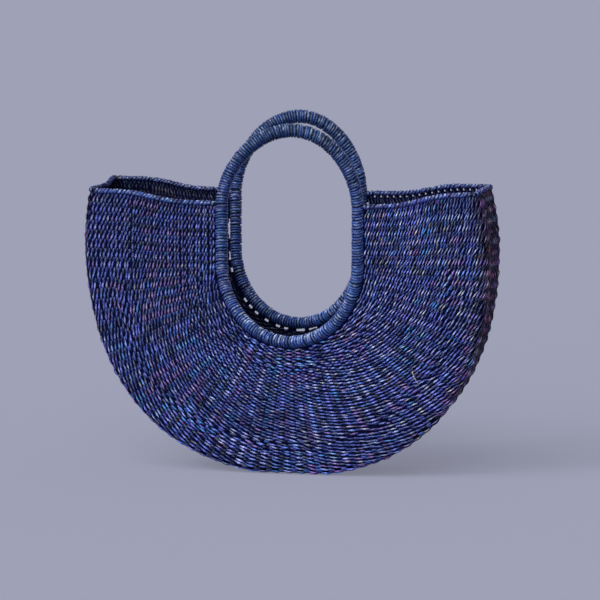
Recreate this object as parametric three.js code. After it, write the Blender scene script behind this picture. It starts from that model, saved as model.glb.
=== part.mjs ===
// Half moon bag twined from dyed grass straw, with a wound ring handle on each side.
// Millimetres, +Z up, +X to the right, and the front wall on the -Y side.
// The origin is under the middle of the bag, on the surface that it stands on.
import * as THREE from "three";

// Outline of the bag at its folds, measured outside the wall
const foldHalfWidth = 196.5;
const foldHalfHeight = 213.8;
const foldFullness = 0.038;
const pressedFlat = 2.5;

// Wall and gusset
const wallThickness = 4;
const wallBulge = 5;
const bulgeLeftAtTips = 0.4;
const rimSway = 2.5;
const swayReach = 0.05;
const foldRadius = 9;
const gussetDepth = 80;
const leftMouthDepth = 88;
const rightMouthDepth = 72;
const gussetTuck = 6;
const seamWidth = 5;
const seamProud = 0.5;

// Rings, measured to the middle of the ring's bundle
const ringSpread = 84;
const ringCoreRadius = 4.2;
const windingRadius = 6;
const windingPitch = 7;
const windingGroove = 0.6;
const windingLean = 1.5;
const gripSwell = 0.8;
const archPoint = 0.015;

// Rim
const rimCoreRadius = 1.3;
const rimRadius = 2.7;
const rimPitch = 8;
const rimGroove = 0.3;
const rimLean = 2;

// Where the ridge of a turn of straw lies, as a share of the pitch
const ridgePlace = 0.35;

// Clearances
const seatGap = 0.3;

// The two halves of a bag made by hand differ a little
const front = {
  name: "front",
  side: -1,
  ringShift: 6.3,
  ringHalfWidth: 65.5,
  limbLength: 52,
  limbBottomHeight: 202,
  archRise: 74,
  archShift: 3,
  bowlDrop: 74.5,
  leftTipHeight: 264.5,
  rightTipHeight: 268.5,
  widestShift: 0.6,
  bottomShift: 6.1,
};
const back = {
  name: "back",
  side: 1,
  ringShift: -3.8,
  ringHalfWidth: 61.5,
  limbLength: 52,
  limbBottomHeight: 206,
  archRise: 75.4,
  archShift: 1.5,
  bowlDrop: 72,
  leftTipHeight: 267.5,
  rightTipHeight: 268.5,
  widestShift: -0.4,
  bottomShift: -0.4,
};

// Fineness of the faceted surfaces
const foldSteps = 40;
const wallRows = 7;
const gussetRows = 1;
const tubeSides = 8;
const coreSides = 6;
const coreStep = 12;
const derivativeStep = 1e-4;
const tangentStep = 0.1;
const shareStep = 0.001;

const straw = new THREE.MeshStandardMaterial({ color: 0x2c3470, roughness: 0.6, metalness: 0 });
const wound = new THREE.MeshStandardMaterial({ color: 0x33489a, roughness: 0.5, metalness: 0 });
const shadedStraw = new THREE.MeshStandardMaterial({ color: 0x2e2748, roughness: 0.7, metalness: 0 });
const bundle = new THREE.MeshStandardMaterial({ color: 0x8a7a4c, roughness: 0.8, metalness: 0 });

const up = new THREE.Vector3(0, 0, 1);
const across = new THREE.Vector3(0, 1, 0);
const widestHeight = foldHalfHeight - pressedFlat;
const midHalfWidth = foldHalfWidth - wallThickness / 2;
const midHalfHeight = foldHalfHeight - wallThickness / 2;

function tipAngle(tipHeight) {
  return Math.asin((tipHeight - widestHeight) / midHalfHeight);
}

// The fold's line from the left tip round the bottom to the right tip, in the middle of the wall. It is an
// ellipse, but fuller at the lower shoulders and with its bottom a little to one side.
class FoldLine extends THREE.Curve {
  constructor(half) {
    super();
    this.half = half;
    this.start = Math.PI - tipAngle(half.leftTipHeight);
    this.end = 2 * Math.PI + tipAngle(half.rightTipHeight);
  }

  getPoint(t) {
    const { widestShift, bottomShift } = this.half;
    const angle = this.start + (this.end - this.start) * t;
    const fuller = Math.sin(angle) < 0 ? 1 + foldFullness * Math.sin(2 * angle) ** 2 : 1;
    const height = widestHeight + midHalfHeight * Math.sin(angle) * fuller;
    const shift = bottomShift + ((widestShift - bottomShift) * height) / widestHeight;
    return new THREE.Vector2(midHalfWidth * Math.cos(angle) * fuller + shift, height);
  }
}

// The middle line of a ring's arch above the rim, from right to left. It is an ellipse, but a little more
// pointed and with its top to one side.
class ArchLine extends THREE.Curve {
  constructor(half) {
    super();
    this.half = half;
  }

  getPoint(t) {
    const { ringHalfWidth, archRise, archShift, limbBottomHeight, limbLength } = this.half;
    const slimmer = 1 - archPoint * Math.sin(2 * Math.PI * t) ** 2;
    const rise = Math.sin(Math.PI * t) * slimmer;
    const x = ringHalfWidth * Math.cos(Math.PI * t) * slimmer + archShift * rise ** 2;
    return new THREE.Vector2(x, limbBottomHeight + limbLength + archRise * rise);
  }
}

// The lower U of a ring, from the rim on the left down, round and up to the rim on the right
function lowerU(half) {
  const top = half.limbBottomHeight + half.limbLength;
  const path = new THREE.Path();
  path.moveTo(-half.ringHalfWidth, top);
  path.lineTo(-half.ringHalfWidth, half.limbBottomHeight);
  path.absellipse(0, half.limbBottomHeight, half.ringHalfWidth, half.bowlDrop, Math.PI, 2 * Math.PI, false);
  path.lineTo(half.ringHalfWidth, top);
  return path;
}

for (const half of [front, back]) {
  half.fold = new FoldLine(half);
  half.lower = lowerU(half);
  half.upper = new THREE.CurvePath();
  half.upper.add(new ArchLine(half));
}

// Where the bag's weight presses the bottom flat, as a share of the way from the middle of the fold
let flatShare = 0;
while (front.fold.getPointAt((1 - flatShare) / 2).y < wallThickness / 2) flatShare += shareStep;

function smooth(x) {
  const t = Math.min(Math.max(x, 0), 1);
  return t * t * (3 - 2 * t);
}

// 0 over the flat bottom, 1 at the tips
function risingShare(f) {
  return smooth((Math.abs(2 * f - 1) - flatShare) / (1 - flatShare));
}

// How far round the ring a stake starts that crosses the fold at f. Stakes leave the straight limbs level
// and fan out round the bowl.
function ringShare(half, f) {
  const limb = half.limbLength / half.lower.getLength();
  const left = (half.leftTipHeight - half.limbBottomHeight) / half.fold.getLength();
  const right = (half.rightTipHeight - half.limbBottomHeight) / half.fold.getLength();
  if (f < left) return (limb * f) / left;
  if (f > 1 - right) return 1 - (limb * (1 - f)) / right;
  return limb + ((1 - 2 * limb) * (f - left)) / (1 - left - right);
}

function halfDepthAt(f) {
  const mouthDepth = f < 0.5 ? leftMouthDepth : rightMouthDepth;
  return (gussetDepth + (mouthDepth - gussetDepth) * (1 - 2 * f) ** 2) / 2;
}

function foldPoint(half, f) {
  const p = half.fold.getPointAt(f);
  return new THREE.Vector3(p.x, half.side * halfDepthAt(f), Math.max(p.y, wallThickness / 2));
}

// A point of the seam line in the middle of the gusset, tucked in towards the tips
function seamPoint(f) {
  const p = foldPoint(front, f).add(foldPoint(back, f)).multiplyScalar(0.5).setY(0);
  const t = front.fold.getTangentAt(f);
  const inward = new THREE.Vector3(-t.y, 0, t.x);
  return p.addScaledVector(inward, gussetTuck * risingShare(f));
}

// The edge of the wall beside the ring's winding
function ringEdge(half, f) {
  const g = ringShare(half, f);
  const p = half.lower.getPoint(g);
  const t = half.lower.getTangent(g);
  const reach = windingRadius + seatGap;
  const x = p.x + half.ringShift + t.y * reach;
  return new THREE.Vector3(x, (half.side * ringSpread) / 2, p.y - t.x * reach);
}

// One stake's line: straight from the ring to the fold, round the fold and on to the seam
function stakeLine(half, f) {
  const start = ringEdge(half, f);
  const corner = foldPoint(half, f);
  const end = seamPoint(f);
  const wallLeg = corner.clone().sub(start);
  const gussetLeg = end.clone().sub(corner);
  const wallStraight = wallLeg.length() - foldRadius;
  const gussetStraight = gussetLeg.length() - foldRadius;
  const halfTurn = (foldRadius * Math.PI) / 4;
  return {
    start,
    corner,
    wallDirection: wallLeg.normalize(),
    gussetDirection: gussetLeg.normalize(),
    wallStraight,
    halfTurn,
    wallLength: wallStraight + halfTurn,
    gussetLength: gussetStraight + halfTurn,
  };
}

// A point in the middle of the wall. q is 0 beside the ring, 1 on the fold and 2 on the seam.
function wallPoint(half, f, q) {
  const line = stakeLine(half, f);
  const along = q < 1 ? q * line.wallLength : line.wallLength + (q - 1) * line.gussetLength;
  const past = along - line.wallStraight;
  const turn = past / foldRadius;
  let p;
  if (past < 0) {
    p = line.start.clone().addScaledVector(line.wallDirection, along);
  } else if (past < 2 * line.halfTurn) {
    p = line.corner.clone();
    p.addScaledVector(line.wallDirection, foldRadius * (Math.sin(turn) - 1));
    p.addScaledVector(line.gussetDirection, foldRadius * (1 - Math.cos(turn)));
  } else {
    p = line.corner.clone();
    p.addScaledVector(line.gussetDirection, foldRadius + past - 2 * line.halfTurn);
  }
  if (q < 1) {
    const swell = bulgeLeftAtTips + (1 - bulgeLeftAtTips) * Math.sin(Math.PI * f);
    p.y += half.side * wallBulge * Math.sin(Math.PI * q) ** 2 * swell;
    const sway = Math.sin(2 * Math.PI * q) * Math.sin(Math.PI * q);
    p.z -= rimSway * sway * Math.exp(-Math.min(f, 1 - f) / swayReach);
  }
  return p;
}

function alongFold(half, f, q) {
  const low = Math.max(f - derivativeStep, 0);
  const high = Math.min(f + derivativeStep, 1);
  return wallPoint(half, high, q).sub(wallPoint(half, low, q)).normalize();
}

function alongStake(half, f, q) {
  const low = Math.max(q - derivativeStep, 0);
  const high = Math.min(q + derivativeStep, 2);
  return wallPoint(half, f, high).sub(wallPoint(half, f, low)).normalize();
}

// Outward normal of the wall
function wallNormal(half, f, q) {
  const n = alongFold(half, f, q).cross(alongStake(half, f, q));
  return n.multiplyScalar(half.side).normalize();
}

function signedVolume(points, faces) {
  let sum = 0;
  for (const [a, b, c] of faces) sum += points[a].dot(points[b].clone().cross(points[c]));
  return sum / 6;
}

function closedGeometry(points, faces) {
  const outward = signedVolume(points, faces) > 0;
  const turned = outward ? faces : faces.map(([a, b, c]) => [a, c, b]);
  const geometry = new THREE.BufferGeometry();
  geometry.setAttribute("position", new THREE.Float32BufferAttribute(points.flatMap((p) => p.toArray()), 3));
  geometry.setIndex(turned.flat());
  geometry.computeVertexNormals();
  return geometry;
}

function quad(a, b, c, d) {
  return [
    [a, b, c],
    [a, c, d],
  ];
}

// A sheet with two skins. Each skin is a grid of points, rows by columns, and the edges join them.
function sheetGeometry(outer, inner) {
  const rows = outer.length;
  const columns = outer[0].length;
  const points = [...outer.flat(), ...inner.flat()];
  const skin = rows * columns;
  const at = (i, j) => i * columns + j;
  const faces = [];
  for (let i = 0; i < rows - 1; i++) {
    for (let j = 0; j < columns - 1; j++) {
      const cell = [at(i, j), at(i, j + 1), at(i + 1, j + 1), at(i + 1, j)];
      faces.push(...quad(...cell));
      faces.push(...quad(...cell.map((k) => k + skin).reverse()));
    }
  }
  const border = [];
  for (let j = 0; j < columns - 1; j++) border.push(at(0, j));
  for (let i = 0; i < rows - 1; i++) border.push(at(i, columns - 1));
  for (let j = columns - 1; j > 0; j--) border.push(at(rows - 1, j));
  for (let i = rows - 1; i > 0; i--) border.push(at(i, 0));
  border.forEach((a, k) => {
    const b = border[(k + 1) % border.length];
    faces.push(...quad(b, a, a + skin, b + skin));
  });
  return closedGeometry(points, faces);
}

// A stretch of twined wall. rowsAt gives the places along a stake that have a row of points.
function twinedSheet(half, rowsAt) {
  const outer = [];
  const inner = [];
  for (let i = 0; i <= foldSteps; i++) {
    const f = i / foldSteps;
    const middle = rowsAt(f).map((q) => ({ p: wallPoint(half, f, q), n: wallNormal(half, f, q) }));
    outer.push(middle.map(({ p, n }) => p.clone().addScaledVector(n, wallThickness / 2)));
    inner.push(middle.map(({ p, n }) => p.clone().addScaledVector(n, -wallThickness / 2)));
  }
  return sheetGeometry(outer, inner);
}

function evenSteps(from, to, count) {
  const steps = [];
  for (let i = 0; i < count; i++) steps.push(from + ((to - from) * i) / count);
  return steps;
}

function panelGeometry(half) {
  return twinedSheet(half, (f) => {
    const line = stakeLine(half, f);
    const foldStart = line.wallStraight / line.wallLength;
    const foldEdge = 1 - seatGap / 2 / line.wallLength;
    return [...evenSteps(0, foldStart, wallRows), foldStart, (foldStart + 1) / 2, foldEdge];
  });
}

function gussetGeometry(half) {
  return twinedSheet(half, (f) => {
    const line = stakeLine(half, f);
    const foldEdge = 1 + seatGap / 2 / line.gussetLength;
    const foldEnd = 1 + line.halfTurn / line.gussetLength;
    const seamEdge = 2 - (seamWidth / 2 + seatGap) / line.gussetLength;
    return [foldEdge, (1 + foldEnd) / 2, ...evenSteps(foldEnd, seamEdge, gussetRows), seamEdge];
  });
}

// The closing row between the two gusset halves, a little proud except where the bag stands on it
function seamGeometry() {
  const outer = [];
  const inner = [];
  for (let i = 0; i <= foldSteps; i++) {
    const f = i / foldSteps;
    const edges = [front, back].map((half) => {
      const q = 2 - seamWidth / 2 / stakeLine(half, f).gussetLength;
      return { p: wallPoint(half, f, q), n: wallNormal(half, f, q) };
    });
    const middle = { p: seamPoint(f), n: edges[0].n.clone().add(edges[1].n).normalize() };
    const row = [edges[0], middle, edges[1]];
    const outside = wallThickness / 2 + seamProud * risingShare(f);
    const inside = wallThickness / 2 + seamProud;
    outer.push(row.map(({ p, n }) => p.clone().addScaledVector(n, outside)));
    inner.push(row.map(({ p, n }) => p.clone().addScaledVector(n, -inside)));
  }
  return sheetGeometry(outer, inner);
}

// The middle line of a ring's lower U or upper arch as a function of the length along it
function ringRoute(half, path) {
  const length = path.getLength();
  const placed = (p) => new THREE.Vector3(p.x + half.ringShift, (half.side * ringSpread) / 2, p.y);
  const pointAt = (s) => placed(path.getPoint(s / length));
  const tangentAt = (s) => {
    const t = path.getTangent(s / length);
    return new THREE.Vector3(t.x, 0, t.y);
  };
  return { length, pointAt, tangentAt, reference: across };
}

// The middle line of the rim over one stretch of the wall's top edge, at the left or the right
function rimRoute(half, atLeft, fromQ, toQ) {
  const f = atLeft ? 0 : 1;
  const line = stakeLine(half, f);
  const length = fromQ < 1 ? line.wallLength : line.gussetLength;
  const offset = rimRadius + seatGap;
  const pointAt = (s) => {
    const q = fromQ + ((toQ - fromQ) * s) / length;
    return wallPoint(half, f, q).addScaledVector(alongFold(half, f, q), atLeft ? -offset : offset);
  };
  const tangentAt = (s) => {
    if (toQ === 2 && s > length - seatGap) return new THREE.Vector3(0, -half.side, 0);
    return pointAt(s + tangentStep).sub(pointAt(s - tangentStep)).normalize();
  };
  return { length, pointAt, tangentAt, reference: up };
}

// A ring of points round a route. Lean moves the points ahead on one side and back on the other.
function ringOfPoints(route, s, radius, sides, lean) {
  const points = [];
  for (let k = 0; k < sides; k++) {
    const angle = (2 * Math.PI * k) / sides;
    const at = s + lean * Math.cos(angle);
    const tangent = route.tangentAt(at);
    const first = route.reference.clone().addScaledVector(tangent, -route.reference.dot(tangent)).normalize();
    const second = tangent.clone().cross(first);
    const p = route.pointAt(at);
    p.addScaledVector(first, radius * Math.cos(angle));
    p.addScaledVector(second, radius * Math.sin(angle));
    points.push(p);
  }
  return points;
}

function skinFaces(firstRow, rows, sides, closed) {
  const faces = [];
  const last = closed ? rows : rows - 1;
  for (let i = 0; i < last; i++) {
    for (let k = 0; k < sides; k++) {
      const a = firstRow + i * sides + k;
      const b = firstRow + i * sides + ((k + 1) % sides);
      const c = firstRow + ((i + 1) % rows) * sides + ((k + 1) % sides);
      const d = firstRow + ((i + 1) % rows) * sides + k;
      faces.push(...quad(a, b, c, d));
    }
  }
  return faces;
}

// A winding over a bundle: ridged outside, a plain bore inside, square at both ends
function windingGeometry(route, start, end, style) {
  const turns = Math.round((end - start) / style.pitch);
  const pitch = (end - start) / turns;
  const grooveRadius = style.radius - style.groove;
  const outer = [ringOfPoints(route, start, grooveRadius, tubeSides, 0)];
  const addRow = (turn, radius, lean) => {
    const swell = style.swell * Math.sin((Math.PI * turn) / turns);
    outer.push(ringOfPoints(route, start + turn * pitch, radius + swell, tubeSides, lean));
  };
  for (let i = 0; i < turns; i++) {
    addRow(i + ridgePlace, style.radius, i > 0 && i < turns - 1 ? style.lean : 0);
    if (i === turns - 1) continue;
    addRow(i + 1, grooveRadius, i > 0 && i < turns - 2 ? style.lean : 0);
  }
  outer.push(ringOfPoints(route, end, grooveRadius, tubeSides, 0));
  const boreSteps = Math.max(Math.round((end - start) / style.boreStep), 2);
  const bore = [];
  for (let i = 0; i <= boreSteps; i++) {
    bore.push(ringOfPoints(route, start + ((end - start) * i) / boreSteps, style.bore, tubeSides, 0));
  }
  const boreStart = outer.length * tubeSides;
  const faces = skinFaces(0, outer.length, tubeSides, false);
  const boreFaces = skinFaces(boreStart, bore.length, tubeSides, false);
  faces.push(...boreFaces.map(([a, b, c]) => [a, c, b]));
  const lastOuter = (outer.length - 1) * tubeSides;
  const lastBore = boreStart + (bore.length - 1) * tubeSides;
  for (let k = 0; k < tubeSides; k++) {
    const next = (k + 1) % tubeSides;
    faces.push(...quad(k, boreStart + k, boreStart + next, next));
    faces.push(...quad(lastOuter + next, lastBore + next, lastBore + k, lastOuter + k));
  }
  return closedGeometry([...outer, ...bore].flat(), faces);
}

// A plain bundle with flat ends
function bundleGeometry(route, start, end, radius) {
  const steps = Math.max(Math.round((end - start) / coreStep), 2);
  const rings = [];
  for (let i = 0; i <= steps; i++) {
    rings.push(ringOfPoints(route, start + ((end - start) * i) / steps, radius, coreSides, 0));
  }
  const faces = skinFaces(0, rings.length, coreSides, false);
  const last = (rings.length - 1) * coreSides;
  for (let k = 1; k < coreSides - 1; k++) {
    faces.push([0, k + 1, k]);
    faces.push([last, last + k, last + k + 1]);
  }
  return closedGeometry(rings.flat(), faces);
}

// The bundle inside a ring, which runs all the way round
function ringCoreGeometry(half) {
  const lower = ringRoute(half, half.lower);
  const upper = ringRoute(half, half.upper);
  const rings = [];
  for (const route of [lower, upper]) {
    const steps = Math.round(route.length / coreStep);
    for (let i = 0; i < steps; i++) {
      rings.push(ringOfPoints(route, (route.length * i) / steps, ringCoreRadius, coreSides, 0));
    }
  }
  return closedGeometry(rings.flat(), skinFaces(0, rings.length, coreSides, true));
}

const ringStyle = {
  pitch: windingPitch,
  radius: windingRadius,
  groove: windingGroove,
  lean: windingLean,
  swell: 0,
  bore: (ringCoreRadius + seatGap) / Math.cos(Math.PI / tubeSides),
  boreStep: coreStep,
};
const rimStyle = {
  pitch: rimPitch,
  radius: rimRadius,
  groove: rimGroove,
  lean: rimLean,
  swell: 0,
  bore: (rimCoreRadius + seatGap) / Math.cos(Math.PI / tubeSides),
  boreStep: coreStep,
};

const gripStyle = { ...ringStyle, swell: gripSwell };

const bag = new THREE.Group();

function addPiece(name, geometry, material) {
  const mesh = new THREE.Mesh(geometry, material);
  mesh.name = name;
  bag.add(mesh);
}

function addRing(half) {
  const lower = ringRoute(half, half.lower);
  const upper = ringRoute(half, half.upper);
  const end = seatGap / 2;
  addPiece(half.name + "_ring_core", ringCoreGeometry(half), bundle);
  addPiece(half.name + "_ring_binding", windingGeometry(lower, end, lower.length - end, ringStyle), wound);
  addPiece(half.name + "_grip_wrap", windingGeometry(upper, end, upper.length - end, gripStyle), wound);
}

// The rim on one side of the ring: over the wall to the fold, then over the gusset to the seam
function addRim(half, atLeft) {
  const place = half.name + (atLeft ? "_left" : "_right");
  const end = seatGap / 2;
  const wallRim = rimRoute(half, atLeft, 0, 1);
  const gussetRim = rimRoute(half, atLeft, 1, 2);
  addPiece(place + "_rim_core", bundleGeometry(wallRim, 0, wallRim.length - end, rimCoreRadius), bundle);
  addPiece(place + "_rim_binding", windingGeometry(wallRim, 0, wallRim.length - end, rimStyle), wound);
  const gussetEnd = gussetRim.length - end;
  addPiece(place + "_end_core", bundleGeometry(gussetRim, end, gussetEnd, rimCoreRadius), bundle);
  addPiece(place + "_end_binding", windingGeometry(gussetRim, end, gussetEnd, rimStyle), wound);
}

for (const half of [front, back]) {
  addRing(half);
  addPiece(half.name + "_panel", panelGeometry(half), straw);
  addPiece(half.name + "_gusset", gussetGeometry(half), shadedStraw);
  addRim(half, true);
  addRim(half, false);
}
addPiece("gusset_seam", seamGeometry(), shadedStraw);

export default bag;
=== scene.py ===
# Half moon bag twined from dyed grass straw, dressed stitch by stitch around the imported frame.
# Metres, +Z up, +X to the right, and the front wall on the -Y side.
import math

import bpy
import numpy as np
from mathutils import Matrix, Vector


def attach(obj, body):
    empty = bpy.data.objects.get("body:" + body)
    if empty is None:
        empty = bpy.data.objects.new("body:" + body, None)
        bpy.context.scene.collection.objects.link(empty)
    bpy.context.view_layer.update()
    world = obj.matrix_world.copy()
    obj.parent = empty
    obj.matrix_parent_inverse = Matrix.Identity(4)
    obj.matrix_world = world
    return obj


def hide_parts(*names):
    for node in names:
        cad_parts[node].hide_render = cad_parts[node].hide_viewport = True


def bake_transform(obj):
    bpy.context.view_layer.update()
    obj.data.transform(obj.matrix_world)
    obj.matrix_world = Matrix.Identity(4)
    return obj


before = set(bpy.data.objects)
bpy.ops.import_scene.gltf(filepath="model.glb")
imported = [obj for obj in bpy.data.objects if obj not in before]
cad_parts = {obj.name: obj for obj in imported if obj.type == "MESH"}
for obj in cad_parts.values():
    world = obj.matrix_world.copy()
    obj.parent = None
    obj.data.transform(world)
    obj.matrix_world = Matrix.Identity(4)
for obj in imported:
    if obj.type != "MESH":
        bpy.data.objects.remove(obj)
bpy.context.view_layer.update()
MM = 0.001

# Sizes of the wall, as in the part
FOLD_HALF_WIDTH = 196.5 * MM
FOLD_HALF_HEIGHT = 213.8 * MM
FOLD_FULLNESS = 0.038
PRESSED_FLAT = 2.5 * MM
WALL = 4 * MM
WALL_BULGE = 5 * MM
BULGE_LEFT_AT_TIPS = 0.4
RIM_SWAY = 2.5 * MM
SWAY_REACH = 0.05
FOLD_RADIUS = 9 * MM
GUSSET_DEPTH = 80 * MM
LEFT_MOUTH_DEPTH = 88 * MM
RIGHT_MOUTH_DEPTH = 72 * MM
GUSSET_TUCK = 6 * MM
RING_SPREAD = 84 * MM
WINDING_RADIUS = 6 * MM
GRIP_SWELL = 0.8 * MM
ARCH_POINT = 0.015
RIM_RADIUS = 2.7 * MM
RIM_CORE_RADIUS = 1.3 * MM
SEAT_GAP = 0.3 * MM
WIDEST_HEIGHT = FOLD_HALF_HEIGHT - PRESSED_FLAT
MID_HALF_WIDTH = FOLD_HALF_WIDTH - WALL / 2
MID_HALF_HEIGHT = FOLD_HALF_HEIGHT - WALL / 2
HALF_TURN = FOLD_RADIUS * math.pi / 4

# The stakes run from the ring to the seam. More are added as the fan under the ring spreads: how many, and
# from which q. They grow in over a stretch of q and drift a little sideways
LEFT_STAKES = 7
RIGHT_STAKES = 6
FIRST_FAN_STAKES = 27
ADDED_STAKES = ((19, 0.12), (9, 0.74))
START_SPREAD = 0.05
STAKE_GROWTH = 0.05
LEAST_GROWTH = 0.35
STAKE_DRIFT = 0.02

# Rows of stitches cross the stakes. They stand closer near the ring, where the right has more of them, and
# further out they narrow to the right. Two short rows fit under the ring
NEAR_ROWS = 23
MORE_ROWS = 1.5
NEAR_Q = 0.62
FAR_ROWS = (0.0325, 0.0308, 0.0300, 0.0270)
FAR_ROWS_AT = (0, 0.15, 0.85, 0.95)
SHORT_ROWS = 2
MOST_ROWS = math.ceil(NEAR_ROWS + MORE_ROWS + (1 - NEAR_Q) / min(FAR_ROWS))
RIGHT_FROM, RIGHT_TO = 0.55, 0.78
ROW_SHIFT = 0.05
SHIFT_REACH = 0.15
GUSSET_ROWS = 12
SEAM_Q = 1.94

# Where the stitches stop short of the edges of a wall
EDGE_F = 0.0016
FRONT_EDGE_Q = 0.006
BACK_EDGE_Q = 0.012
LAST_PANEL_Q = 0.995

# How far the rows and the single stitches wander, as shares of a row
WANDER_KNOTS = 14
ROW_WANDER = 0.10
STITCH_WANDER = 0.07

# The swells of an uneven wall: the share of each, and its turns along the fold and along a stake
UNEVEN = 0.7 * MM
UNEVEN_WAVES = ((0.5, 3.1, 0.7), (0.3, 7.3, -1.2), (0.2, 1.7, 3.1))

# How the stitches lean at three places along the fold, how far nearer to the ring the strands cross there,
# and the share of the lean that is left beside the ring
LEANS = np.radians([13, 9, 27])
LEAN_AT = (0.15, 0.5, 0.8)
CROSSING_SHIFTS = (0.3, 0.5, 0.38)
LEAN_BY_RING = 0.45
LEAN_REACH = 0.2

# For the stitches over a stake and for those where two strands cross between stakes: the half length and
# # half width as shares of the cell, the half thickness, the height of the crest and the shade, a factor on
# the
# # dye that also paints the crossing strands darker, as shade in the valley between stakes
OVER_STAKE = (0.50, 0.31, 0.65 * MM, 1.30 * MM, np.array([2.55, 2.50, 1.98]))
CROSSING = (0.46, 0.42, 0.55 * MM, 0.60 * MM, np.array([0.88, 0.95, 1.02]))

# How deep the ends of a stitch dip behind the wall, how late they turn down, and its form from end to end
STITCH_DIP = 0.6 * MM
STITCH_BEND = 2.5
LAST_RING_AT = 0.97
SWELL_POWERS = (1.5, 1.05)

# How much the stitches differ, and the sides and rings of their meshes
LEAN_NOISE = math.radians(5)
LENGTH_NOISE = 0.06
WIDTH_NOISE = 0.10
CREST_NOISE = 0.13
THICKNESS_NOISE = 0.08
OVER_STAKE_DETAIL = (6, 5)
CROSSING_DETAIL = (5, 4)
INSIDE_DETAIL = (5, 3)

# The crest of a stitch gets a painted highlight on the side that turns to the ring, over a share of its
# length. Few
# # stitches get a strong one, more of them to the right and fewer where strands cross
GLINT_DYE = np.array([0.70, 0.74, 0.72])
GLINT_SIDE = math.radians(60)
GLINT_EDGE = 3
GLINT_REACH = 0.65
GLINT_RARITY = 3.4
GLINT_SHARE = (0.52, 0.48, 0.84, 0.92)
GLINT_AT = (0, 0.5, 0.7, 1)
CROSSING_GLINT = 0.3

# The dye is painted full on the side towards the ring and dark in the groove on the other, as shade. It is
# # painted fuller at the crest than at the ends, as shade where the ends dip behind the wall
BRIGHT_SIDE = math.radians(50)
SIDE_SHADE = (0.4, 0.75)
GROOVE_SHADE = 0.08
RIDGE_SHADE = 1.2
CREST_SHADE = (0.60, 0.62)
CREST_REACH = 0.42

# The sheet of stakes inside the weave, and how far its edges reach under the bindings
SHEET_HALF = 0.5 * MM
EDGE_TUCK = 1.3 * MM
CELLS_PER_STAKE = 4
EDGE_CELLS = 2

# The holes in the back wall: dashes beside the ring, and gaps under the rim on the right
DASH_CELLS = 4
DASH_SHARE = 0.38
RIM_HOLE_STEP = 4

# The windings: half the width and height of the strand, its pitch, how far a turn leans along the bundle,
# # and how much the turns differ. Inside lies a core dyed near black, as painted shade in the grooves
# between turns
RING_STRAND = (1.25 * MM, 0.95 * MM)
RING_PITCH = 2.6 * MM
RING_LEAN = 1.6 * MM
RIM_STRAND = (1.45 * MM, 0.85 * MM)
RIM_PITCH = 3.5 * MM
RIM_LEAN = 2.2 * MM
POINTS_PER_TURN = 16
LEAN_TURNS = 1.5
ANGLE_NOISE = 0.10
SLACK_NOISE = 0.2
LIFT_NOISE = 0.14 * MM
STRAND_NOISE = 0.10
CORE_STEP = 4 * MM
CORE_DEPTH = 1.5
CORE_SIDES = 12
END_CORE_RINGS = 14
END_CORE_SIDES = 10

# Round a wound strand from its crest: how bright its dye is painted, dark on the flanks as shade in the
# grooves
# # between turns, and where it gets a painted highlight. Straw that faces up is painted lighter and gets
# more
# # painted highlight than straw that faces down, as light from above
WOUND_SHADE = np.array([1.35, 0.75, 0.15, 0.05, 0.05, 0.15, 0.65])
WOUND_TOP_LIGHT = (0.95, 0.25)
WOUND_GLINT_SPOT = np.array([0.6, 0.2, 0.0, 0.0, 0.0, 0.0, 0.05])
WOUND_GLINT_DYE = np.array([0.64, 0.76, 1.00])
WOUND_GLINT_BY_FACING = (0.5, 1.5)
MOST_GLINT = 0.9

# Two distances from the middle, for where the gusset's weave would follow the seam and where the wall;
# nothing bends the weave by them
BLEND_FROM = 4 * MM
BLEND_TO = 33.5 * MM

# Straw dyes in linear colour, from the deepest shade to the rare sparks, with the share of each
DYES = np.array([
    (0.006, 0.009, 0.055),
    (0.020, 0.030, 0.150),
    (0.036, 0.045, 0.240),
    (0.054, 0.034, 0.155),
    (0.030, 0.060, 0.260),
    (0.018, 0.066, 0.235),
    (0.080, 0.095, 0.290),
])
DYE_SHARE = np.array([0.13, 0.24, 0.25, 0.15, 0.14, 0.06, 0.03])

# How often a strand takes a new dye, how often a single stitch is off, how much brightness varies, for how
# many stitches or turns a dye lasts, and how near wound straw keeps to the mean dye
FRESH_DYE = 0.25
ODD_DYE = 0.22
BRIGHTNESS = (0.72, 1.28)
WEAVE_RUNS = (1, 5)
WOUND_RUNS = (3, 12)
WOUND_EVENNESS = 0.45

# The gusset is browner, from a little before the fold on the right, and only past it at the bottom. The
# straw
# # under the bag is painted lighter, as light on what faces down, and the left end of the wall is painted
# darker, as shade
GUSSET_TINT = np.array([0.90, 0.40, 0.30])
GUSSET_CONTRAST = 0.8
BROWN_FROM_LEFT = 0.92
BROWN_FROM_RIGHT = 0.86
BROWN_REACH = 0.13
BROWN_BELOW_FROM = 1.10
BROWN_BELOW_REACH = 0.12
UNDERSIDE_GAIN = 0.3
UNDERSIDE_LIGHT_FROM = 0.93
UNDERSIDE_LIGHT_REACH = 0.1
LEFT_SHADE = 0.8
LEFT_SHADE_REACH = 0.35

# The tints of the windings and of the inside. A ring is duller on its arch and brighter under its bowl, and
# # the rim over the ends of the mouth turns browner in its first part, darker at the left. The inside of
# the wall
# # and the back rim are painted darker, as shade inside the mouth
RING_TINT = np.array([0.50, 0.88, 0.88])
ARCH_TINT = np.array([0.74, 0.76, 0.62])
BOWL_TINT = np.array([1.45, 1.38, 1.18])
RIM_TINT = np.array([0.85, 0.95, 1.10])
BACK_RIM_SHADE = np.array([0.85, 0.80, 0.70])
END_TINT = np.array([0.80, 0.62, 0.62])
END_TINT_PART = 0.25
LEFT_END_SHADE = 0.7
TINT_STEPS = 40
INSIDE_SHADE = np.array([0.40, 0.32, 0.22])
# Near black, as painted shade between the stitches and in the grooves of the windings
PAINTED_SHADE_DYE = np.array([0.003, 0.004, 0.022])
GLOSS_TINT = (0.64, 0.84, 0.96, 1.0)
STEM_DYE = np.array([0.30, 0.24, 0.12])
PALE_STRAW = np.array([0.62, 0.55, 0.40])

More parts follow.
